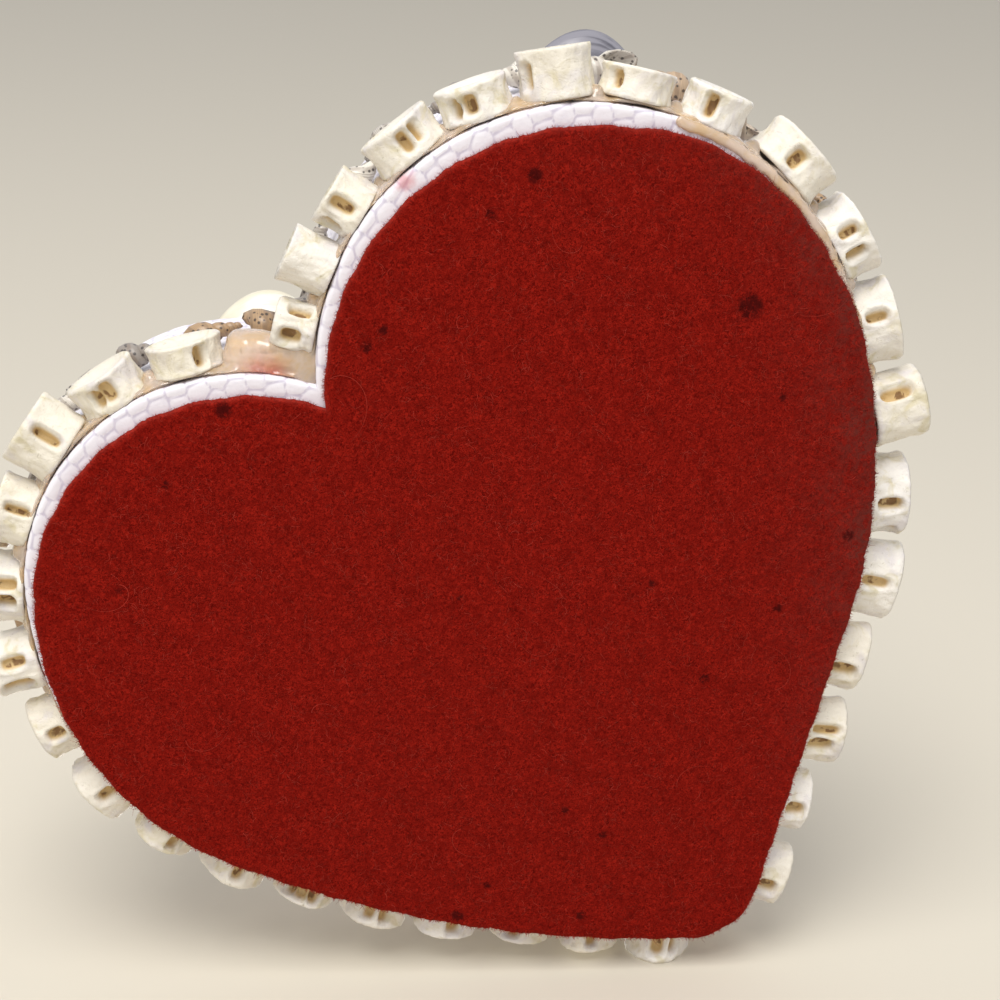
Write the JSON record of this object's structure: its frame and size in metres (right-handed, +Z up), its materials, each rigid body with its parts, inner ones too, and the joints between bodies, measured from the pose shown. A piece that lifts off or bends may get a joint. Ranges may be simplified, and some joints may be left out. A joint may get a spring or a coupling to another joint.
{
  "type": "shell trinket box",
  "caption": "Heart-shaped lidded trinket box with a felt underside, ringed by fish vertebrae and topped with clam-shell flowers, snails, a cockle and cowries.",
  "frame": {"origin": "middle of the heart's extent, on the felt face that rests on the table", "axes": "+Z up out of the lid, -Y toward the tip of the heart, +X toward its right lobe seen from above"},
  "size_m": [0.132, 0.1263, 0.0441],
  "materials": {
    "felt": "matte felt with a cut edge",
    "embossed_paper": "satin paper embossed with a reptile grain, over cardboard",
    "clear_glue": "glossy, slightly amber",
    "fish_bone": "matte, porous and fibrous",
    "small_shells": "semi-gloss, speckled",
    "cream_clam": "satin with fine growth lines",
    "lilac_clam": "satin with lilac and grey bands",
    "snail_shell": "semi-gloss, banded",
    "cowrie_shell": "glossy, mottled"
  },
  "bodies": {
    "root": {"felt_pad": "felt", "tray": "embossed_paper", "lid_rim": "embossed_paper", "lid": "embossed_paper", "hot_glue": "clear_glue", "vertebra_left_01": "fish_bone", "vertebra_left_02": "fish_bone", "vertebra_left_03": "fish_bone", "vertebra_left_04": "fish_bone", "vertebra_left_05": "fish_bone", "vertebra_left_06": "fish_bone", "vertebra_left_07": "fish_bone", "vertebra_left_08": "fish_bone", "vertebra_left_09": "fish_bone", "vertebra_left_10": "fish_bone", "vertebra_left_11": "fish_bone", "vertebra_left_12": "fish_bone", "vertebra_left_13": "fish_bone", "vertebra_left_14": "fish_bone", "vertebra_left_15": "fish_bone", "vertebra_left_16": "fish_bone", "vertebra_left_17": "fish_bone", "vertebra_left_18": "fish_bone", "vertebra_right_01": "fish_bone", "vertebra_right_02": "fish_bone", "vertebra_right_03": "fish_bone", "vertebra_right_04": "fish_bone", "vertebra_right_05": "fish_bone", "vertebra_right_06": "fish_bone", "vertebra_right_07": "fish_bone", "vertebra_right_08": "fish_bone", "vertebra_right_09": "fish_bone", "vertebra_right_10": "fish_bone", "vertebra_right_11": "fish_bone", "vertebra_right_12": "fish_bone", "vertebra_right_13": "fish_bone", "vertebra_right_14": "fish_bone", "vertebra_right_15": "fish_bone", "vertebra_right_16": "fish_bone", "small_shell_row": "small_shells", "petal_left_1": "lilac_clam", "petal_left_2": "cream_clam", "petal_left_3": "lilac_clam", "petal_left_4": "cream_clam", "petal_left_5": "lilac_clam", "snail_left": "snail_shell", "petal_right_1": "cream_clam", "petal_right_2": "lilac_clam", "petal_right_3": "cream_clam", "petal_right_4": "lilac_clam", "petal_right_5": "cream_clam", "snail_right": "snail_shell", "lid_shell_border": "small_shells", "cockle": "cream_clam", "cowrie_left": "cowrie_shell", "cowrie_right": "cowrie_shell"}
  },
  "joints": []
}
